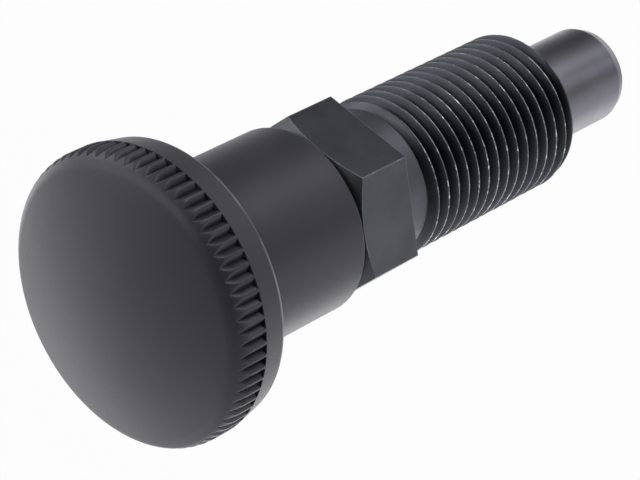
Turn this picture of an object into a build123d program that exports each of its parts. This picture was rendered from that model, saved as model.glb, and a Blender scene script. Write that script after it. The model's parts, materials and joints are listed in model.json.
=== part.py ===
"""Indexing plunger, spring-returned, with a serrated mushroom knob.

Four pieces on one axis: a threaded steel body with a hexagon, a locking pin
that slides in it, a compression spring round the pin's stem, and a plastic
knob pressed on the stem. Millimetres. +Z runs along the axis from the nose to
the knob, and the origin is the centre of the hexagon's seat face.
"""

import os
from math import asin, cos, pi, radians, sin, sqrt, tan

from build123d import *

# ---- mounting thread and relief ------------------------------------------
thread_dia = 16.0
thread_pitch = 1.5
shank_length = 26.0
relief_dia = 14.6
relief_width = 3.5

# ---- hexagon --------------------------------------------------------------
hex_sides = 6
hex_across_flats = 17.0
hex_height = 7.05
hex_top_face_dia = 16.1
hex_chamfer_angle = 30.0

# ---- guide neck of the body, inside the knob's sleeve ---------------------
guide_neck_dia = 13.2
guide_neck_height = 13.4
guide_neck_chamfer = 0.6
guide_bore_length = 6.4
bore_mouth_chamfer = 0.4

# ---- locking pin ----------------------------------------------------------
pin_dia = 10.0
pin_reach = 12.0
pin_nose_dia = 9.0
pin_nose_taper = 1.3
pin_nose_radius = 0.5
pin_guided_length = 15.0
stem_dia = 5.0
stem_end_chamfer = 0.6
stem_grip_length = 7.5

# ---- return spring --------------------------------------------------------
spring_wire_dia = 0.9
spring_outer_dia = 9.4
spring_turns = 11
spring_closed_turns = 1
spring_blend_turns = 0.5
spring_closed_gap = 0.03

# ---- knob -----------------------------------------------------------------
sleeve_dia = 18.4
sleeve_rest_gap = 0.4
sleeve_edge_radius = 0.3
head_dia = 28.4
head_back_dia = 27.3
head_back_height = 23.4
head_back_radius = 0.35
underside_rise = 1.6
underside_fillet = 2.4
band_height = 2.85
crest_height = 1.64
rim_radius = 2.17
dome_radius = 40.0
serration_count = 72
serration_depth = 0.45
serration_angle = 97.0
serration_phase = 2.9

# ---- fits and clearances --------------------------------------------------
pin_running_clearance = 0.03
stem_running_clearance = 0.03
sleeve_clearance = 0.25
stem_seat_gap = 0.5

# ---- sizes that follow ----------------------------------------------------
thread_radius = thread_dia / 2
thread_depth = 17 / 24 * thread_pitch * sqrt(3) / 2
hex_corner_radius = hex_across_flats / sqrt(3)
shank_end_z = -shank_length
pin_tip_z = shank_end_z - pin_reach
pin_shoulder_z = shank_end_z + pin_guided_length
guide_neck_top_z = hex_height + guide_neck_height
spring_seat_z = guide_neck_top_z - guide_bore_length
spring_length = spring_seat_z - pin_shoulder_z
sleeve_end_z = hex_height + sleeve_rest_gap
sleeve_bore_radius = guide_neck_dia / 2 + sleeve_clearance
stem_end_z = guide_neck_top_z + stem_grip_length
band_top_z = head_back_height + band_height
crest_top_z = band_top_z + crest_height
rim_centre_radius = head_dia / 2 - rim_radius
dome_lean = asin(rim_centre_radius / (dome_radius - rim_radius))
dome_centre_z = crest_top_z - (dome_radius - rim_radius) * cos(dome_lean)
dome_top_z = dome_centre_z + dome_radius
same_size = 1e-6


def polar_sketch(points):
    """A closed half profile in the XZ plane, from radius and height pairs."""
    edges = Polyline(*[(r, 0, z) for r, z in points], close=True)
    return make_face(edges)


def turned(profile):
    """The solid of revolution of a half profile about the plunger's axis."""
    return revolve(profile, Axis.Z)


def make_body():
    """Threaded shank, relief, hexagon and guide neck, bored for pin and spring."""
    rise = thread_radius - relief_dia / 2
    shank = turned(
        polar_sketch(
            [
                (0, shank_end_z),
                (thread_radius - thread_depth, shank_end_z),
                (thread_radius, shank_end_z + thread_depth),
                (thread_radius, -relief_width - rise),
                (relief_dia / 2, -relief_width),
                (relief_dia / 2, 0),
                (0, 0),
            ]
        )
    )
    half_flats = hex_across_flats / 2
    turn = 180 / hex_sides
    hexagon = extrude(
        RegularPolygon(half_flats, hex_sides, major_radius=False, rotation=turn),
        hex_height,
    )
    face_radius = hex_top_face_dia / 2
    drop = (hex_corner_radius - face_radius) * tan(radians(hex_chamfer_angle))
    envelope = turned(
        polar_sketch(
            [
                (0, 0),
                (hex_corner_radius, 0),
                (hex_corner_radius, hex_height - drop),
                (face_radius, hex_height),
                (0, hex_height),
            ]
        )
    )
    neck_radius = guide_neck_dia / 2
    neck = turned(
        polar_sketch(
            [
                (0, hex_height),
                (neck_radius, hex_height),
                (neck_radius, guide_neck_top_z - guide_neck_chamfer),
                (neck_radius - guide_neck_chamfer, guide_neck_top_z),
                (0, guide_neck_top_z),
            ]
        )
    )
    pin_bore = pin_dia / 2 + pin_running_clearance
    stem_bore = stem_dia / 2 + stem_running_clearance
    bore = turned(
        polar_sketch(
            [
                (0, shank_end_z),
                (pin_bore + bore_mouth_chamfer, shank_end_z),
                (pin_bore, shank_end_z + bore_mouth_chamfer),
                (pin_bore, spring_seat_z),
                (stem_bore, spring_seat_z),
                (stem_bore, guide_neck_top_z - bore_mouth_chamfer),
                (stem_bore + bore_mouth_chamfer, guide_neck_top_z),
                (0, guide_neck_top_z),
            ]
        )
    )
    return shank + (hexagon & envelope) + neck - bore


def make_pin():
    """Locking pin with a tapered nose, a shoulder for the spring and a stem."""
    profile = polar_sketch(
        [
            (0, pin_tip_z),
            (pin_nose_dia / 2, pin_tip_z),
            (pin_dia / 2, pin_tip_z + pin_nose_taper),
            (pin_dia / 2, pin_shoulder_z),
            (stem_dia / 2, pin_shoulder_z),
            (stem_dia / 2, stem_end_z - stem_end_chamfer),
            (stem_dia / 2 - stem_end_chamfer, stem_end_z),
            (0, stem_end_z),
        ]
    )
    pin = turned(profile)
    nose_edge = pin.edges().filter_by(GeomType.CIRCLE).sort_by(Axis.Z)[0]
    return fillet(nose_edge, pin_nose_radius)


def coil_line(radius):
    """Centreline of the coil: closed end turns that open smoothly into the rest."""
    per_turn = 16
    count = spring_turns * per_turn
    turns = [step / per_turn for step in range(count + 1)]
    closed_pitch = spring_wire_dia + spring_closed_gap

    def opened(turn):
        inward = min(turn, spring_turns - turn) - spring_closed_turns
        share = max(0, min(1, inward / spring_blend_turns))
        return share**2 * (3 - 2 * share)

    free = [0.0]
    for before, after in zip(turns, turns[1:]):
        free.append(free[-1] + (opened(before) + opened(after)) / 2 / per_turn)
    extra = (spring_length - closed_pitch * spring_turns) / free[-1]
    return Spline(
        *[
            (
                radius * cos(2 * pi * turn),
                radius * sin(2 * pi * turn),
                closed_pitch * turn + extra * gained,
            )
            for turn, gained in zip(turns, free)
        ]
    )


def make_spring():
    """Round-wire compression spring with closed ends, ground flat to seat."""
    coil = coil_line((spring_outer_dia - spring_wire_dia) / 2)
    wire_section = Plane(coil @ 0, z_dir=coil % 0) * Circle(spring_wire_dia / 2)
    wire = sweep(wire_section, path=coil, is_frenet=True)
    ground = Cylinder(
        spring_outer_dia,
        spring_length,
        align=(Align.CENTER, Align.CENTER, Align.MIN),
    )
    return Pos(0, 0, pin_shoulder_z) * (wire & ground)


def serration_cutters():
    """V grooves round the head, from the smooth band up through the rim."""
    crest_radius = head_dia / 2
    root_radius = crest_radius - serration_depth
    over = serration_depth
    half_width = (serration_depth + over) * tan(radians(serration_angle / 2))
    groove = make_face(
        Polyline(
            (root_radius, 0),
            (crest_radius + over, half_width),
            (crest_radius + over, -half_width),
            close=True,
        )
    )
    ring = Plane.XY.offset(band_top_z) * Rot(0, 0, serration_phase)
    cutter = extrude(groove, dome_top_z - band_top_z)
    return [ring * c for c in PolarLocations(0, serration_count) * cutter]


def make_knob():
    """Sleeve, mushroom head, smooth band and domed face with serrated rim."""
    head_radius = head_dia / 2
    back_radius = head_back_dia / 2
    sleeve_radius = sleeve_dia / 2
    root_z = head_back_height - underside_rise
    sides = Polyline(
        (0, 0, sleeve_end_z),
        (sleeve_radius, 0, sleeve_end_z),
        (sleeve_radius, 0, root_z),
        (back_radius, 0, head_back_height),
        (head_radius, 0, band_top_z),
        (head_radius, 0, crest_top_z),
    )

    def on_dome(lean):
        return (dome_radius * sin(lean), 0, dome_centre_z + dome_radius * cos(lean))

    halfway = (pi / 2 + dome_lean) / 2
    rim_middle = (
        rim_centre_radius + rim_radius * sin(halfway),
        0,
        crest_top_z + rim_radius * cos(halfway),
    )
    rim = ThreePointArc((head_radius, 0, crest_top_z), rim_middle, on_dome(dome_lean))
    dome = ThreePointArc(on_dome(dome_lean), on_dome(dome_lean / 2), on_dome(0))
    axis_line = Line(on_dome(0), (0, 0, sleeve_end_z))
    head = turned(make_face(sides + rim + dome + axis_line))

    def ring_at(radius, height):
        return [
            ring
            for ring in head.edges().filter_by(GeomType.CIRCLE)
            if abs(ring.radius - radius) < same_size
            and abs(ring.arc_center.Z - height) < same_size
        ]

    head = fillet(ring_at(sleeve_radius, root_z), underside_fillet)
    head = fillet(ring_at(back_radius, head_back_height), head_back_radius)
    head = fillet(ring_at(sleeve_radius, sleeve_end_z), sleeve_edge_radius)
    head -= serration_cutters()
    socket = turned(
        polar_sketch(
            [
                (0, sleeve_end_z),
                (sleeve_bore_radius, sleeve_end_z),
                (sleeve_bore_radius, guide_neck_top_z),
                (stem_dia / 2, guide_neck_top_z),
                (stem_dia / 2, stem_end_z + stem_seat_gap),
                (0, stem_end_z + stem_seat_gap),
            ]
        )
    )
    return head - socket


parts = {
    "threaded_body": make_body(),
    "locking_pin": make_pin(),
    "return_spring": make_spring(),
    "pull_knob": make_knob(),
}

os.makedirs("parts", exist_ok=True)
for name, shape in parts.items():
    export_step(shape, f"parts/{name}.step")
    print(name, len(shape.solids()), "solid", round(shape.volume, 2), "mm3")
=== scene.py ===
import json
from math import acos, atan, cos, pi, radians, sin, sqrt, tan

import bmesh
import bpy
import numpy as np
from bpy.props import (
    FloatProperty,
    FloatVectorProperty,
    IntProperty,
    PointerProperty,
)
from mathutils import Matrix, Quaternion, Vector


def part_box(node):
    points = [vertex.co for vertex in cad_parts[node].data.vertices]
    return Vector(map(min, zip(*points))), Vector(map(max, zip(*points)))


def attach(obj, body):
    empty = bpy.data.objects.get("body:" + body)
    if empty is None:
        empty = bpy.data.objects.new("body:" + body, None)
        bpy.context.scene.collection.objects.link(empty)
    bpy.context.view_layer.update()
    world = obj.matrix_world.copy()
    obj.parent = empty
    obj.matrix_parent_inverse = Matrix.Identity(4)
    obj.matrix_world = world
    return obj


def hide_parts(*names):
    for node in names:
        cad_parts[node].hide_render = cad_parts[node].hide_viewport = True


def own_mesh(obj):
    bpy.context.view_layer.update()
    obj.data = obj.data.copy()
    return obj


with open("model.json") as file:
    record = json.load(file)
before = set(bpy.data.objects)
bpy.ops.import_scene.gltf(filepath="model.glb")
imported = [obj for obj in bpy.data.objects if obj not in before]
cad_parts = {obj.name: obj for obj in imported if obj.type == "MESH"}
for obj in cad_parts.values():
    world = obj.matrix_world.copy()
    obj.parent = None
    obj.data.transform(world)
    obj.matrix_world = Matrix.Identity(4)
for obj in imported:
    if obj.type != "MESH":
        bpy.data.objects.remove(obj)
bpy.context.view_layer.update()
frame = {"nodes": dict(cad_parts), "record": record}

bl_info = {
    "name": "Indexing plunger",
    "version": (1, 0, 0),
    "blender": (4, 5, 0),
    "location": "View3D > Sidebar > Plunger",
    "description": "Finishes a spring-returned indexing plunger and lights it",
    "category": "Object",
}

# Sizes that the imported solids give, in metres.
body_low, body_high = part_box("threaded_body")
knob_low, knob_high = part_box("pull_knob")
pin_low, pin_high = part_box("locking_pin")
spring_low, spring_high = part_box("return_spring")
mounts = {mount["name"]: mount for mount in frame["record"]["mounts"]}
thread_radius = mounts["mounting_thread"]["dims"]["r_mm"] / 1000
seat_height = mounts["seat_face"]["pos_m"][2]
across_flats = body_high.x - body_low.x
mm = 0.001

# Hidden sizes of the bore, the stem and its socket.
pin_clearance = 0.03 * mm
stem_radius = 2.5 * mm
stem_clearance = 0.03 * mm
bore_mouth = 0.4 * mm
socket_gap = 0.5 * mm

# Values that a skin's points carry for its finish: 1 is rubbed bare, 0 is
# untouched, and below 0 is the depth in a groove as a share of its full depth,
# which the materials turn into painted shade. The plain neck and the thread's
# bevels carry painted light, the crests' rubbing falls off round one side as
# painted shade, and the knob's back edge carries a painted highlight.
# Painted light on the plain neck.
painted_light_on_relief = 0.3
# Painted light on the thread's bevels.
bevel_painted_light = 0.12
crest_wear = 0.75
# Painted shade: how far the crests' rubbing falls off round one side.
crest_painted_shade_swing = 0.35
# Painted highlight just beside the knob's back edge.
beside_edge_highlight = 0.8


def length(name, description, default):
    """A length property, shown in the scene's units."""
    return FloatProperty(
        name=name,
        description=description,
        default=default,
        min=0.0,
        precision=5,
        unit="LENGTH",
        subtype="DISTANCE",
    )


def angle(name, description, default):
    """An angle property, given in degrees and kept in radians."""
    return FloatProperty(
        name=name,
        description=description,
        default=radians(default),
        subtype="ANGLE",
    )


def share(name, description, default):
    """A property from nought to one."""
    return FloatProperty(
        name=name, description=description, default=default, min=0.0, max=1.0
    )


def colour(name, description, default):
    """A colour property."""
    return FloatVectorProperty(
        name=name,
        description=description,
        default=default,
        size=3,
        min=0.0,
        max=1.0,
        subtype="COLOR",
    )


class PlungerBodySettings(bpy.types.PropertyGroup):
    """Sizes and colours of the threaded body."""

    pitch: length("Thread pitch", "Rise of the thread in one turn", 1.5 * mm)
    thread_depth: length("Thread depth", "Crest to root", 0.9201 * mm)
    crest_flat: length("Crest flat", "Width of the thread's crest", 0.115 * mm)
    # Painted shade: the crests are made less bright towards this side.
    painted_shade_side: angle("Spared side", "Direction of the least rubbed crests", 20)
    crest_start: length("First crest", "Height of the first crest", 1.117 * mm)
    end_chamfer: length("End chamfer", "Bevel at the free end of the thread", 0.9201 * mm)
    relief_radius: length("Relief radius", "Plain neck under the hexagon", 7.3 * mm)
    relief_width: length("Relief width", "Length of the plain neck", 3.5 * mm)
    hex_height: length("Hexagon height", "Seat face to top face", 7.05 * mm)
    top_face_radius: length("Top face radius", "Flat ring inside the chamfer", 8.05 * mm)
    chamfer_angle: angle("Chamfer angle", "Slope of the hexagon's chamfer", 30)
    neck_radius: length("Neck radius", "Guide neck inside the sleeve", 6.6 * mm)
    neck_bevel: length("Neck bevel", "Bevel at the top of the neck", 0.6 * mm)
    edge_rounding: length("Edge rounding", "Worn corners of the hexagon", 0.09 * mm)
    black: colour("Oxide", "Colour of the black oxide", (0.064, 0.066, 0.079))
    edge_wear: share("Edge wear", "How far the hexagon's edges are rubbed", 0.44)
    # Painted shade: how dark the colour is made down in the thread's grooves.
    groove_painted_shade: share("Groove", "Colour down in the thread, against the rest", 0.62)
    # Painted light: how much paler the plain neck's colour is made than the oxide
    # elsewhere.
    relief_painted_light: FloatProperty(
        name="Relief",
        description="Colour of the plain neck, against the rest",
        default=1.45,
    )
    bright: colour("Worn steel", "Colour where the oxide is rubbed off", (0.68, 0.69, 0.74))


class PlungerKnobSettings(bpy.types.PropertyGroup):
    """Sizes and colours of the pull knob."""

    sleeve_radius: length("Sleeve radius", "Outside of the sleeve", 9.2 * mm)
    bore_radius: length("Bore radius", "Inside of the sleeve", 6.85 * mm)
    sleeve_rounding: length("Sleeve edge", "Rounding at the sleeve's end", 0.3 * mm)
    back_radius: length("Back radius", "Edge of the head's back", 13.65 * mm)
    back_height: length("Back height", "Height of the back edge", 23.4 * mm)
    back_rounding: length("Back rounding", "Rounding of the back edge", 0.35 * mm)
    underside_rise: length("Underside rise", "Slope of the head's back", 1.6 * mm)
    underside_fillet: length("Underside fillet", "Fillet at the sleeve", 2.4 * mm)
    band_height: length("Band height", "Smooth band behind the grooves", 2.85 * mm)
    crest_height: length("Crest height", "Straight length of the ridges", 1.64 * mm)
    rim_radius: length("Rim rounding", "Rounding from the ridges to the dome", 2.17 * mm)
    dome_radius: length("Dome radius", "Curvature of the domed face", 40.0 * mm)
    groove_count: IntProperty(
        name="Grooves", description="Grooves round the rim", default=72, min=12, max=144
    )
    groove_depth: length("Groove depth", "Depth of each groove", 0.45 * mm)
    groove_angle: angle("Groove angle", "Opening of each groove", 97)
    groove_phase: angle("Groove phase", "Turn of the first groove", 2.9)
    edge_rounding: length("Edge rounding", "Softness of the ridges", 0.04 * mm)
    # Painted shade: how dark the colour is made down in the knob's grooves.
    groove_painted_shade: share("Groove", "Colour down in the grooves, against the rest", 0.15)
    # Painted highlight: the pale colour laid along the head's back edge.
    rubbed: colour("Rubbed edge", "Colour where hands rub the back edge", (0.2, 0.2, 0.22))
    plastic: colour("Plastic", "Colour of the moulding", (0.0235, 0.024, 0.0303))


class PlungerPinSettings(bpy.types.PropertyGroup):
    """Finish of the locking pin."""

    steel: colour("Steel", "Colour of the ground steel", (0.164, 0.162, 0.189))
    grind: share("Grinding marks", "Strength of the fine rings", 0.25)


class PlungerSpringSettings(bpy.types.PropertyGroup):
    """Sizes and colour of the return spring."""

    wire: length("Wire", "Diameter of the wire", 0.9 * mm)
    turns: IntProperty(name="Turns", description="Turns of the coil", default=11, min=4)
    closed: FloatProperty(
        name="Closed turns", description="Closed turns at each end", default=1.0, min=0.5
    )
    opening: FloatProperty(
        name="Opening", description="Part of a turn that opens the coil", default=0.5
    )
    end_gap: length("End gap", "Between the closed turns", 0.03 * mm)
    steel: colour("Steel", "Colour of the drawn wire", (0.45, 0.45, 0.46))


class PlungerStageSettings(bpy.types.PropertyGroup):
    """Camera, lamps and floor."""

    lens: FloatProperty(
        name="Lens", description="Focal length in millimetres", default=168.091
    )
    distance: length("Distance", "Camera to the point it looks at", 279.458 * mm)
    azimuth: angle("Azimuth", "Camera's direction round the axis", -2.2907)
    elevation: angle("Elevation", "Camera's height above the horizon", 41.4922)
    roll: angle("Roll", "Turn of the camera about its line of sight", -117.2062)
    floor_drop: length("Floor drop", "Floor below the nose of the pin", 700 * mm)
    backdrop: FloatProperty(
        name="Backdrop", description="Level of the backdrop's light", default=0.62
    )
    room: share("Room light", "Level of the room beside the object", 0.33)
    pale: colour("Floor", "Colour of the floor", (0.92, 0.92, 0.92))


# ---- mesh helpers -----------------------------------------------------------


def rounded(corners, steps=4, hold=0.05 * mm):
    """A half profile of (radius, height, rounding) corners, as (radius, height, wear).

    Each rounded corner gives an arc and one point just outside it at either
    end, which keeps the flats beside it evenly shaded. Wear is 1 on the arcs.
    """
    points = []
    for k, (r, z, rounding) in enumerate(corners):
        here = np.array((r, z))
        if rounding == 0:
            points.append((*here, 0))
            continue
        before = np.array(corners[k - 1][:2]) - here
        after = np.array(corners[(k + 1) % len(corners)][:2]) - here
        before, after = before / np.hypot(*before), after / np.hypot(*after)
        half = acos(max(-1.0, min(1.0, before @ after))) / 2
        reach = rounding / tan(half)
        middle = before + after
        centre = here + middle / np.hypot(*middle) * rounding / sin(half)
        points.append((*(here + before * (reach + hold)), 0))
        first, last = here + before * reach - centre, here + after * reach - centre
        sweep = pi - 2 * half
        for step in range(steps + 1):
            t = sweep * step / steps
            place = centre + (first * sin(sweep - t) + last * sin(t)) / sin(sweep)
            points.append((*place, 1))
        points.append((*(here + after * (reach + hold)), 0))
    return np.array(points)


def turn(profile, angles):
    """Rings of one profile turned about the axis: (ring, place, xyz and wear)."""
    r, z, wear = profile[:, :1], profile[:, 1:2], profile[:, 2:]
    return np.stack(
        [r * np.cos(angles), r * np.sin(angles), z + 0 * angles, wear + 0 * angles],
        axis=-1,
    )


def skin(name, rings, closed):
    """An object whose faces join neighbouring rings of points.

    The first and last place of each ring lie together, and the last ring joins
    the first where the profile is closed. The points' values for rubbing, painted light and
    painted shade are kept.
    """
    merged = 0.0002 * mm
    count, places = rings.shape[:2]
    index = np.arange(count * places).reshape(count, places)
    if closed:
        index = np.vstack([index, index[:1]])
    quads = np.stack(
        [index[:-1, :-1], index[:-1, 1:], index[1:, 1:], index[1:, :-1]], axis=-1
    ).reshape(-1, 4)
    mesh = bpy.data.meshes.new(name)
    mesh.from_pydata(rings[..., :3].reshape(-1, 3).tolist(), [], quads.tolist())
    worn = mesh.attributes.new("worn", "FLOAT", "POINT")
    worn.data.foreach_set("value", rings[..., 3].ravel().astype(np.float32))
    shape = bmesh.new()
    shape.from_mesh(mesh)
    bmesh.ops.remove_doubles(shape, verts=shape.verts, dist=merged)
    bmesh.ops.dissolve_degenerate(shape, edges=shape.edges, dist=merged)
    bmesh.ops.recalc_face_normals(shape, faces=shape.faces)
    if shape.calc_volume(signed=True) < 0:
        bmesh.ops.reverse_faces(shape, faces=shape.faces)
    for face in shape.faces:
        face.smooth = True
    shape.to_mesh(mesh)
    shape.free()
    piece = bpy.data.objects.new(name, mesh)
    bpy.context.scene.collection.objects.link(piece)
    return piece


# ---- node helpers -----------------------------------------------------------


def new_material(name):
    """A material and its tree, holding only a principled shader and the output."""
    made = bpy.data.materials.new(name)
    made.use_nodes = True
    return made, made.node_tree, made.node_tree.nodes["Principled BSDF"]


def add(tree, kind, links=(), **settings):
    """A node with its settings and its links: pairs of input and source socket.

    An input is a name or a place, and gets a plain value where no socket is given.
    """
    made = tree.nodes.new(kind)
    for name, value in settings.items():
        setattr(made, name, value)
    for place, source in dict(links).items():
        if isinstance(source, bpy.types.NodeSocket):
            tree.links.new(source, made.inputs[place])
        else:
            made.inputs[place].default_value = source
    return made


def noise(tree, scale, detail=3.0, roughness=0.55, vector=None):
    """Noise in the piece's own coordinates; the feature size is about 1/scale metres."""
    if vector is None:
        vector = add(tree, "ShaderNodeTexCoord").outputs["Object"]
    return add(
        tree,
        "ShaderNodeTexNoise",
        {"Vector": vector, "Scale": scale, "Detail": detail, "Roughness": roughness},
    ).outputs["Fac"]


def ramp(tree, source, low, high, to_low=0.0, to_high=1.0):
    """The source's range from low to high, stretched to another range and clamped."""
    return add(
        tree,
        "ShaderNodeMapRange",
        {0: source, 1: low, 2: high, 3: to_low, 4: to_high},
    ).outputs[0]


def blend_colours(tree, factor, first, second):
    """One colour over another by a factor."""
    colour_inputs, colour_output = (6, 7), 2
    made = add(tree, "ShaderNodeMix", {0: factor}, data_type="RGBA")
    for socket, value in zip(colour_inputs, (first, second)):
        if isinstance(value, bpy.types.NodeSocket):
            tree.links.new(value, made.inputs[socket])
        else:
            made.inputs[socket].default_value = (*value, 1.0)
    return made.outputs[colour_output]


def multiply(tree, first, second):
    """The product of two values."""
    return add(
        tree, "ShaderNodeMath", {0: first, 1: second}, operation="MULTIPLY"
    ).outputs[0]


def plus(tree, first, second, clamped=False):
    """The sum of two values, held between nought and one where it is clamped."""
    return add(
        tree,
        "ShaderNodeMath",
        {0: first, 1: second},
        operation="ADD",
        use_clamp=clamped,
    ).outputs[0]


def bump(tree, shader, height, depth):
    """Surface relief of the given depth in metres on a shader."""
    made = add(tree, "ShaderNodeBump", {"Height": height, "Distance": depth})
    tree.links.new(made.outputs["Normal"], shader.inputs["Normal"])


def tinted(value, factor):
    """A colour made lighter or darker."""
    return tuple(min(1.0, part * factor) for part in value)


def mottled(tree, base, scale, darker, lighter):
    """A colour that drifts between a darker and a lighter tint of itself."""
    cloud = ramp(tree, noise(tree, scale), 0.35, 0.65)
    return blend_colours(tree, cloud, tinted(base, darker), tinted(base, lighter))


def wear_and_painted_light_of(tree):
    """The values that the skin's points carry: rubbing, painted light and painted shade."""
    return add(tree, "ShaderNodeAttribute", attribute_name="worn").outputs["Fac"]


# ---- materials --------------------------------------------------------------


def moulded_plastic(settings):
    """Fine matt thermoplastic, rougher and with painted shade down in its grooves, and with
    a painted highlight along its back edge.
    """
    made, tree, shader = new_material("moulded_plastic")
    base = settings.plastic
    plain = mottled(tree, base, 180, 0.92, 1.08)
    wear = wear_and_painted_light_of(tree)
    # Painted shade down in the grooves.
    sunk = ramp(tree, wear, -0.9, -0.3, 1.0, 0.0)
    shade_painted_in_grooves = blend_colours(tree, sunk, plain, tinted(base, settings.groove_painted_shade))
    # Painted highlight along the head's back edge, broken up by noise.
    highlight_breaks = ramp(tree, noise(tree, 160, 2.0), 0.42, 0.58, 0.15, 1.0)
    rubbed = multiply(tree, ramp(tree, wear, 0.3, 0.9), highlight_breaks)
    tree.links.new(
        blend_colours(tree, rubbed, shade_painted_in_grooves, tuple(settings.rubbed)),
        shader.inputs["Base Color"],
    )
    shader.inputs["Specular Tint"].default_value = (0.86, 0.85, 1.0, 1.0)
    grain = noise(tree, 9000, 2.0)
    matt = ramp(tree, grain, 0.3, 0.7, 0.45, 0.55)
    duller = ramp(tree, sunk, 0.0, 1.0, 1.0, 1.8)
    tree.links.new(multiply(tree, matt, duller), shader.inputs["Roughness"])
    bump(tree, shader, grain, 0.004 * mm)
    return made


def blackened_steel(settings):
    """Black oxide on turned steel, rubbed bright along its edges and crests, with painted
    shade and full metal down in its grooves, and painted light on its plain neck and
    bevels.
    """
    made, tree, shader = new_material("black_oxide")
    base = settings.black
    oxide = mottled(tree, base, 260, 0.85, 1.12)
    wear = wear_and_painted_light_of(tree)
    sunk = ramp(tree, wear, -0.3, -0.02, 1.0, 0.0)
    # Painted shade down in the thread's grooves.
    oxide = blend_colours(tree, sunk, oxide, tinted(base, settings.groove_painted_shade))
    tree.links.new(ramp(tree, sunk, 0.0, 1.0, 0.75, 1.0), shader.inputs["Metallic"])
    # Painted light: paler oxide on the plain neck and the thread's bevels, also given to
    # the rubbed hexagon edges and crests.
    rubbing_and_painted_light = ramp(tree, wear, 0.05, 0.3)
    oxide = blend_colours(tree, rubbing_and_painted_light, oxide, tinted(base, settings.relief_painted_light))
    stretches = ramp(tree, noise(tree, 240, 2.0), 0.42, 0.6, 0.04, 0.26)
    specks = ramp(tree, noise(tree, 1500, 4.0, 0.75), 0.52, 0.65, 0.0, 0.95)
    bare = plus(tree, stretches, specks)
    rubbed = multiply(tree, ramp(tree, wear, 0.35, 0.9), bare)
    tree.links.new(
        blend_colours(tree, rubbed, oxide, tuple(settings.bright)),
        shader.inputs["Base Color"],
    )
    grain = noise(tree, 5000, 2.0)
    matt = ramp(tree, grain, 0.3, 0.7, 0.36, 0.46)
    rougher = multiply(tree, matt, ramp(tree, rubbing_and_painted_light, 0.0, 1.0, 1.0, 1.25))
    smoother = ramp(tree, rubbed, 0.0, 1.0, 1.0, 0.65)
    tree.links.new(multiply(tree, rougher, smoother), shader.inputs["Roughness"])
    bump(tree, shader, grain, 0.003 * mm)
    return made


def ground_steel(settings):
    """Cylindrically ground steel with very fine rings."""
    made, tree, shader = new_material("ground_pin")
    place = add(tree, "ShaderNodeTexCoord").outputs["Object"]
    stretched = add(
        tree, "ShaderNodeMapping", {"Vector": place, "Scale": (0.02, 0.02, 1.0)}
    ).outputs[0]
    rings = noise(tree, 9000, 2.0, 0.6, stretched)
    steel = mottled(tree, settings.steel, 200, 0.93, 1.07)
    tree.links.new(steel, shader.inputs["Base Color"])
    shader.inputs["Metallic"].default_value = 1.0
    tree.links.new(ramp(tree, rings, 0.3, 0.7, 0.35, 0.45), shader.inputs["Roughness"])
    bump(tree, shader, rings, settings.grind * 0.004 * mm)
    return made


def drawn_wire(settings):
    """Bright drawn spring wire."""
    made, tree, shader = new_material("drawn_wire")
    steel = mottled(tree, settings.steel, 600, 0.85, 1.1)
    tree.links.new(steel, shader.inputs["Base Color"])
    shader.inputs["Metallic"].default_value = 1.0
    grain = noise(tree, 4000, 2.0)
    tree.links.new(ramp(tree, grain, 0.3, 0.7, 0.25, 0.38), shader.inputs["Roughness"])
    bump(tree, shader, grain, 0.003 * mm)
    return made


# ---- pieces -----------------------------------------------------------------


def corner_angles():
    """Places round the axis, which lie close together at the hexagon's corners."""
    even = np.arange(0, 361, 2.5)
    beside = (-0.7, -0.3, -0.12, 0.12, 0.3, 0.7)
    near = [30 + 60 * side + turned for side in range(6) for turned in beside]
    return np.radians(np.unique(np.round(np.concatenate([even, near]), 4)))


def hexagon_reach(angles, flat, rounding):
    """Distance from the axis to the hexagon's side, with its corners rounded."""
    half_side = pi / 6
    off = (angles % (2 * half_side)) - half_side
    side = flat / np.cos(half_side - np.abs(off))
    centre = (flat - rounding) / cos(half_side)
    arc = centre * np.cos(off) + np.sqrt(
        np.maximum(rounding**2 - (centre * np.sin(off)) ** 2, 0)
    )
    edge = atan(rounding * sin(half_side) / (centre + rounding * cos(half_side)))
    return np.where(np.abs(off) < edge, arc, side)


def thread_rings(settings, angles, low, high):
    """Rings that climb with the thread, held between two heights."""
    pitch = settings.pitch
    crest = low + settings.crest_start
    flank_angle = radians(30)
    crest_tolerance = 0.012 * mm
    # Rings between a crest and the root, as shares of the pitch.
    to_root = np.array([0.026, 0.042, 0.058, 0.16, 0.28, 0.36, 0.39, 0.42])
    steps = np.concatenate([[0], to_root, [0.5], 1 - to_root[::-1]])
    laps = range(-2, int((high - low) / pitch) + 2)
    starts = np.concatenate([crest + (lap + steps) * pitch for lap in laps])
    heights = starts[:, None] + pitch * angles[None, :] / (2 * pi)
    heights = np.clip(heights, low, high)
    along = (heights - crest) / pitch - angles[None, :] / (2 * pi)
    from_crest = np.abs(along - np.round(along))
    flank = settings.thread_depth * tan(flank_angle) / pitch
    crest_flat = settings.crest_flat / 2 / pitch
    sunk = np.clip((from_crest - crest_flat) / flank, 0, 1) * settings.thread_depth
    end_bevel = thread_radius - settings.end_chamfer + (heights - low)
    relief_bevel = settings.relief_radius + (high - heights)
    blank = np.minimum(thread_radius, np.minimum(end_bevel, relief_bevel))
    radius = np.minimum(thread_radius - sunk, blank)
    # Crest rubbing, made weaker towards one side as painted shade.
    crests = crest_wear - crest_painted_shade_swing * np.cos(angles - settings.painted_shade_side)
    # Painted light on the thread's bevels.
    plain = np.where(blank < thread_radius - crest_tolerance, bevel_painted_light, crests)
    under = blank - radius
    # Below the crests the value is the groove's depth, which the material paints as shade.
    worn = np.where(under < crest_tolerance, plain, -under / settings.thread_depth)
    return np.stack(
        [radius * np.cos(angles), radius * np.sin(angles), heights, worn], axis=-1
    )


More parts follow.
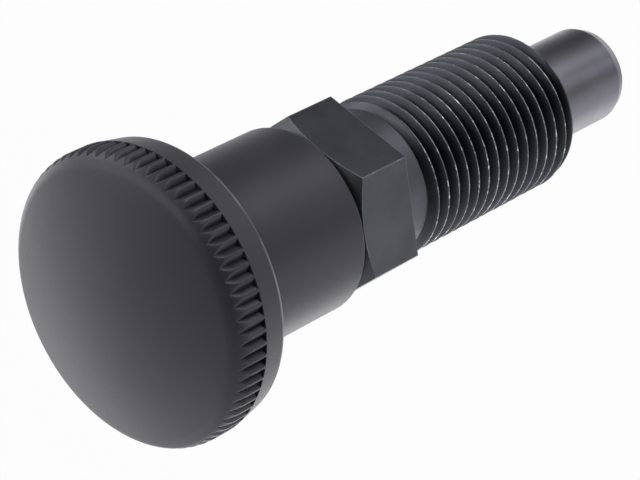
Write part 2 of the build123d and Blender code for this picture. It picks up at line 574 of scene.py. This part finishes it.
def threaded_body(settings):
    """The steel body as one skin, from the bore's mouth over the thread to the neck."""
    angles = corner_angles()
    low, top = body_low.z, body_high.z
    high = seat_height - settings.relief_width
    pin_bore = pin_high.x + pin_clearance
    stem_bore = stem_radius + stem_clearance
    seat_fillet = 0.25 * mm
    relief_start = high + 0.02 * mm
    relief_held = high + 0.08 * mm
    relief_top = seat_height - 0.1 * mm
    corner_degrees = 0.31
    hex_top = seat_height + settings.hex_height
    slope = tan(settings.chamfer_angle)
    soft = settings.edge_rounding
    corner_rounding = 1.4 * soft
    neck_fillet = 2 * soft
    flat = across_flats / 2
    reach = hexagon_reach(angles, flat, corner_rounding)
    corner = np.abs(np.degrees(angles) % 60 - 30) < corner_degrees
    end = turn(
        rounded(
            [
                (pin_bore, low + bore_mouth, 0),
                (pin_bore + bore_mouth, low, soft),
                (thread_radius - settings.end_chamfer, low, 0),
            ]
        ),
        angles,
    )
    thread = thread_rings(settings, angles, low, high)
    columns = []
    for at, side, cornered in zip(angles, reach, corner):
        bevel = hex_top - (side - settings.top_face_radius) * slope
        profile = rounded(
            [
                (settings.relief_radius, relief_start, 0),
                (settings.relief_radius, relief_held, 0),
                (settings.relief_radius, seat_height, seat_fillet),
                (side, seat_height, soft),
                (side, bevel, soft),
                (settings.top_face_radius, hex_top, soft),
                (settings.neck_radius, hex_top, neck_fillet),
                (settings.neck_radius, top - settings.neck_bevel, soft),
                (settings.neck_radius - settings.neck_bevel, top, soft),
                (stem_bore + bore_mouth, top, soft),
                (stem_bore, top - bore_mouth, 0),
                (stem_bore, spring_high.z, 0),
                (pin_bore, spring_high.z, 0),
                (pin_bore, low + bore_mouth, 0),
            ]
        )
        out, up, wear = profile[:, 0], profile[:, 1], profile[:, 2]
        on_side = np.abs(up - (seat_height + bevel) / 2) <= (bevel - seat_height) / 2
        on_side &= out >= settings.top_face_radius
        wear[on_side] = np.maximum(wear[on_side], cornered)
        wear[out < settings.top_face_radius - soft] = 0
        # Painted light on the plain neck.
        wear[up < relief_top] = painted_light_on_relief
        wear[up > relief_top] *= settings.edge_wear
        columns.append(turn(profile, np.array([at]))[:, 0])
    upper = np.stack(columns, axis=1)
    return skin("threaded_body_finish", np.concatenate([end, thread, upper]), True)


def groove_reach(settings, angles):
    """Distance from the axis to the groove's sides at each angle."""
    step = 2 * pi / settings.groove_count
    off = (angles - settings.groove_phase) % step
    off = np.minimum(off, step - off)
    root = knob_high.x - settings.groove_depth
    narrowest = 0.2
    sides = np.cos(off) - np.sin(off) / tan(settings.groove_angle / 2)
    return root / np.maximum(sides, narrowest)


def softened(first, second, width):
    """The smaller of two lengths, with the corner between them rounded."""
    mix = np.clip(0.5 + 0.5 * (second - first) / width, 0, 1)
    return second * (1 - mix) + first * mix - width * mix * (1 - mix)


def pull_knob(settings):
    """The moulding as one skin, from the crown of the dome to the bore."""
    step = 2 * pi / settings.groove_count
    # Places across one groove, as shares of its step, with its root at nought.
    parts = np.array([0, 0.02, 0.14, 0.28, 0.385, 0.41, 0.44])
    parts = np.concatenate([parts, 1 - parts[1:][::-1]])
    angles = np.concatenate(
        [(k + parts) * step for k in range(settings.groove_count)] + [[2 * pi]]
    )
    angles = angles + settings.groove_phase
    head = knob_high.x
    band_top = settings.back_height + settings.band_height
    rim_z = band_top + settings.crest_height
    rim = settings.rim_radius
    arm = settings.dome_radius - rim
    dome_z = rim_z - sqrt(arm**2 - (head - rim) ** 2)
    lean = acos((rim_z - dome_z) / arm)
    crown = [
        (settings.dome_radius * sin(a), dome_z + settings.dome_radius * cos(a))
        for a in np.linspace(0, lean, 10)
    ]
    # The fillet's rings lie closer together where the grooves run out into it.
    finer_from = 0.75
    leans = np.concatenate(
        [np.linspace(lean, finer_from, 5)[1:], np.linspace(finer_from, pi / 2, 20)[1:]]
    )
    fillet = [(head - rim + rim * sin(a), rim_z + rim * cos(a)) for a in leans]
    straight = [(head, rim_z - settings.crest_height * t) for t in (0.3, 0.6, 0.9, 1.0)]
    outline = np.array(crown + fillet + straight)
    face = turn(np.column_stack([outline, np.zeros(len(outline))]), angles)
    sides = groove_reach(settings, angles)[None, :]
    radius = np.hypot(face[..., 0], face[..., 1])
    cut = softened(radius, sides, settings.edge_rounding)
    grooved_width = 1.6 * settings.groove_depth
    cut = np.where(radius < head - grooved_width, radius, cut)
    not_nought = 1e-9
    scale = np.where(radius > 0, cut / np.maximum(radius, not_nought), 1.0)
    face[..., 0] *= scale
    face[..., 1] *= scale
    # The depth in the grooves, which the material paints as shade.
    face[..., 3] = (cut - radius) / settings.groove_depth
    soft = settings.edge_rounding
    hub = body_high.z
    socket = pin_high.z + socket_gap
    shelf_width = 1.2 * settings.groove_depth
    # An extra ring on the band, where the painted highlight beside the back edge fades out.
    highlight_fade_share = 0.16
    rest = rounded(
        [
            (head - shelf_width, band_top, 0),
            (head, band_top, soft),
            (
                settings.back_radius + highlight_fade_share * (head - settings.back_radius),
                settings.back_height + highlight_fade_share * settings.band_height,
                0,
            ),
            (settings.back_radius, settings.back_height, settings.back_rounding),
            (
                settings.sleeve_radius,
                settings.back_height - settings.underside_rise,
                settings.underside_fillet,
            ),
            (settings.sleeve_radius, knob_low.z, settings.sleeve_rounding),
            (settings.bore_radius, knob_low.z, soft),
            (settings.bore_radius, hub, 0),
            (stem_radius, hub, 0),
            (stem_radius, socket, 0),
            (0, socket, 0),
        ],
        steps=5,
    )
    out, up, wear = rest[:, 0], rest[:, 1], rest[:, 2]
    # Painted highlight on the back edge's rounding and just beside it.
    away = np.hypot(out - settings.back_radius, up - settings.back_height)
    wear[away > settings.back_rounding] = 0
    beside = (away < settings.back_rounding) & (up > settings.back_height)
    wear[beside] = np.maximum(wear[beside], beside_edge_highlight)
    rings = np.concatenate([face, turn(rest, angles)])
    return skin("pull_knob_finish", rings, False)


def return_spring(settings):
    """The coil as a swept round wire, ground flat at both ends."""
    seat_gap = 0.01 * mm
    per_turn, sides = 40, 12
    low, high = spring_low.z + seat_gap, spring_high.z - seat_gap
    wire = settings.wire / 2
    middle = (spring_high.x - spring_low.x) / 2 - wire
    turned = np.linspace(0, settings.turns, settings.turns * per_turn + 1)
    inward = np.minimum(turned, settings.turns - turned) - settings.closed
    opened = np.clip(inward / settings.opening, 0, 1)
    opened = opened**2 * (3 - 2 * opened)
    gained = (opened[1:] + opened[:-1]) / (2 * per_turn)
    free = np.concatenate([[0], np.cumsum(gained)])
    closed_pitch = settings.wire + settings.end_gap
    extra = (high - low - closed_pitch * settings.turns) / free[-1]
    climb = closed_pitch * turned + extra * free
    angles = 2 * pi * turned
    around = np.linspace(0, 2 * pi, sides + 1)
    rings = []
    for at, rise in zip(angles, climb):
        reach = middle + wire * np.cos(around)
        height = np.clip(low + rise + wire * np.sin(around), low, high)
        rings.append(
            np.stack([reach * cos(at), reach * sin(at), height, 0 * around], axis=-1)
        )
    return skin("return_spring_coil", np.array(rings), False)


# ---- operators --------------------------------------------------------------


class PLUNGER_OT_threaded_body(bpy.types.Operator):
    """Makes the threaded body, with its hexagon and guide neck"""

    bl_idname = "plunger.threaded_body"
    bl_label = "Threaded body"

    def execute(self, context):
        settings = context.scene.plunger_body
        piece = threaded_body(settings)
        piece.data.materials.append(blackened_steel(settings))
        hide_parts("threaded_body")
        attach(piece, "body")
        return {"FINISHED"}


class PLUNGER_OT_locking_pin(bpy.types.Operator):
    """Finishes the locking pin"""

    bl_idname = "plunger.locking_pin"
    bl_label = "Locking pin"

    def execute(self, context):
        pin = frame["nodes"]["locking_pin"]
        pin.material_slots[0].material = ground_steel(context.scene.plunger_pin)
        return {"FINISHED"}


class PLUNGER_OT_return_spring(bpy.types.Operator):
    """Makes the return spring"""

    bl_idname = "plunger.return_spring"
    bl_label = "Return spring"

    def execute(self, context):
        settings = context.scene.plunger_spring
        piece = return_spring(settings)
        piece.data.materials.append(drawn_wire(settings))
        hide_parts("return_spring")
        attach(piece, "spring")
        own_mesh(piece)
        return {"FINISHED"}


class PLUNGER_OT_pull_knob(bpy.types.Operator):
    """Makes the pull knob, with its grooved rim and sleeve"""

    bl_idname = "plunger.pull_knob"
    bl_label = "Pull knob"

    def execute(self, context):
        settings = context.scene.plunger_knob
        piece = pull_knob(settings)
        piece.data.materials.append(moulded_plastic(settings))
        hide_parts("pull_knob")
        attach(piece, "plunger")
        return {"FINISHED"}


def make_floor(settings):
    """A wide pale floor below the pin, which the camera sees nearly white."""
    level = pin_low.z - settings.floor_drop
    half = 2.4
    seen_glow = 0.97
    mesh = bpy.data.meshes.new("floor")
    corners = [(-half, -half), (half, -half), (half, half), (-half, half)]
    mesh.from_pydata([(x, y, level) for x, y in corners], [], [(0, 1, 2, 3)])
    floor = bpy.data.objects.new("floor", mesh)
    bpy.context.scene.collection.objects.link(floor)
    made, tree, shader = new_material("pale_floor")
    shader.inputs["Base Color"].default_value = (*settings.pale, 1.0)
    shader.inputs["Roughness"].default_value = 0.9
    glow = add(tree, "ShaderNodeEmission", {"Strength": 1.0})
    path = add(tree, "ShaderNodeLightPath").outputs["Is Camera Ray"]
    factor = multiply(tree, path, seen_glow)
    mix = add(
        tree,
        "ShaderNodeMixShader",
        {0: factor, 1: shader.outputs[0], 2: glow.outputs[0]},
    )
    tree.links.new(mix.outputs[0], tree.nodes["Material Output"].inputs["Surface"])
    mesh.materials.append(made)
    floor.visible_glossy = False


def make_room(settings):
    """Surroundings: bright where the backdrop stands, dark on the camera's side."""
    world = bpy.data.worlds.new("room")
    bpy.context.scene.world = world
    world.use_nodes = True
    tree = world.node_tree
    tree.nodes.clear()
    away = add(tree, "ShaderNodeTexCoord").outputs["Generated"]
    lamp_side = Vector((0.652, -0.740, 0.163))
    facing = add(
        tree, "ShaderNodeVectorMath", {0: away, 1: lamp_side}, operation="DOT_PRODUCT"
    ).outputs["Value"]
    around = multiply(
        tree,
        ramp(tree, facing, -0.5, 0.0, settings.backdrop, settings.room),
        ramp(tree, facing, 0.0, 0.5, 1.0, 0.0),
    )
    path = add(tree, "ShaderNodeLightPath").outputs
    mirrored = plus(tree, path["Is Glossy Ray"], path["Is Transmission Ray"])
    behind = multiply(tree, mirrored, ramp(tree, facing, -0.8, 0.1, 1.0, 0.0))
    seen = plus(tree, path["Is Camera Ray"], behind, clamped=True)
    lit = add(tree, "ShaderNodeBackground", {"Strength": around})
    white = add(tree, "ShaderNodeBackground")
    for shade in (lit, white):
        shade.inputs["Color"].default_value = (1, 1, 1, 1)
    mix = add(
        tree, "ShaderNodeMixShader", {0: seen, 1: lit.outputs[0], 2: white.outputs[0]}
    )
    add(tree, "ShaderNodeOutputWorld", {"Surface": mix.outputs[0]})


# The point that the camera and the lamps face, and the lamps' distance from it.
aim = Vector((-2.8175, 0.1127, 5.4181)) * mm
lamp_distance = 0.6

# Name, direction from the plunger, size in metres and power in watts.
lamps = (
    ("front_right", (0.514, -0.799, -0.312), 0.3, 1.56),
    ("right", (0.99, 0.13, 0.1), 0.3, 1.28),
    ("top_right_front", (0.538, -0.342, 0.771), 0.3, 1.03),
    ("top_right", (0.717, 0.262, 0.646), 0.3, 0.91),
    ("rear_right", (0.5, 0.87, -0.02), 0.3, 0.87),
    ("rear", (-0.045, 0.981, 0.188), 0.3, 0.5),
    ("rear_top", (0.255, 0.815, 0.521), 0.3, 0.28),
    ("rear_left", (-0.53, 0.75, 0.4), 0.3, 0.42),
    ("rear_low", (-0.6, 0.644, -0.479), 0.3, 0.75),
    ("front_left", (-0.726, -0.562, -0.396), 0.3, 0.62),
    ("strip_right", (0.316, -0.678, -0.663), 0.16, 0.21),
    ("strip_left", (-0.065, -0.746, -0.663), 0.16, 0.24),
    ("tail", (0.19, 0.0, -0.98), 0.3, 0.36),
    ("tail_rear", (0.3, 0.55, -0.78), 0.3, 0.28),
    ("tail_left", (-0.5, 0.27, -0.81), 0.3, 0.3),
)


def make_lamp(name, direction, size, power):
    """A square soft lamp that faces the plunger from a direction."""
    data = bpy.data.lights.new(name, "AREA")
    data.shape = "SQUARE"
    data.size = size
    data.energy = power
    lamp = bpy.data.objects.new(name, data)
    away = Vector(direction).normalized()
    lamp.visible_camera = False
    lamp.location = aim + away * lamp_distance
    lamp.rotation_mode = "QUATERNION"
    lamp.rotation_quaternion = away.to_track_quat("Z", "Y")
    bpy.context.scene.collection.objects.link(lamp)


class PLUNGER_OT_stage(bpy.types.Operator):
    """Makes the camera, the lamps, the floor and the plain surroundings"""

    bl_idname = "plunger.stage"
    bl_label = "Stage"

    def execute(self, context):
        settings = context.scene.plunger_stage
        around, above = settings.azimuth, settings.elevation
        back = Vector(
            (sin(around) * cos(above), -cos(around) * cos(above), sin(above))
        )
        data = bpy.data.cameras.new("camera")
        data.lens = settings.lens
        data.sensor_width = 36.0
        data.clip_start, data.clip_end = 0.01, 10.0
        camera = bpy.data.objects.new("camera", data)
        camera.location = aim + back * settings.distance
        camera.rotation_mode = "QUATERNION"
        level = (-back).to_track_quat("-Z", "Y")
        camera.rotation_quaternion = level @ Quaternion((0, 0, 1), settings.roll)
        context.scene.collection.objects.link(camera)
        context.scene.camera = camera
        make_floor(settings)
        make_room(settings)
        for lamp in lamps:
            make_lamp(*lamp)
        context.scene.view_settings.view_transform = "Standard"
        return {"FINISHED"}


class PLUNGER_PT_panel(bpy.types.Panel):
    """Lists the pieces and the stage"""

    bl_idname = "PLUNGER_PT_panel"
    bl_label = "Indexing plunger"
    bl_space_type = "VIEW_3D"
    bl_region_type = "UI"
    bl_category = "Plunger"

    def draw(self, context):
        for operator in operators:
            self.layout.operator(operator.bl_idname)


settings_groups = {
    "plunger_body": PlungerBodySettings,
    "plunger_knob": PlungerKnobSettings,
    "plunger_pin": PlungerPinSettings,
    "plunger_spring": PlungerSpringSettings,
    "plunger_stage": PlungerStageSettings,
}
operators = (
    PLUNGER_OT_threaded_body,
    PLUNGER_OT_locking_pin,
    PLUNGER_OT_return_spring,
    PLUNGER_OT_pull_knob,
    PLUNGER_OT_stage,
)


def register():
    """Adds the settings, the operators and the panel."""
    for name, group in settings_groups.items():
        bpy.utils.register_class(group)
        setattr(bpy.types.Scene, name, PointerProperty(type=group))
    for operator in (*operators, PLUNGER_PT_panel):
        bpy.utils.register_class(operator)


def unregister():
    """Takes them away again."""
    for operator in (PLUNGER_PT_panel, *operators[::-1]):
        bpy.utils.unregister_class(operator)
    for name, group in settings_groups.items():
        delattr(bpy.types.Scene, name)
        bpy.utils.unregister_class(group)


def main():
    """Makes every piece and the stage."""
    register()
    bpy.ops.plunger.threaded_body()
    bpy.ops.plunger.locking_pin()
    bpy.ops.plunger.return_spring()
    bpy.ops.plunger.pull_knob()
    bpy.ops.plunger.stage()


if __name__ == "__main__":
    main()
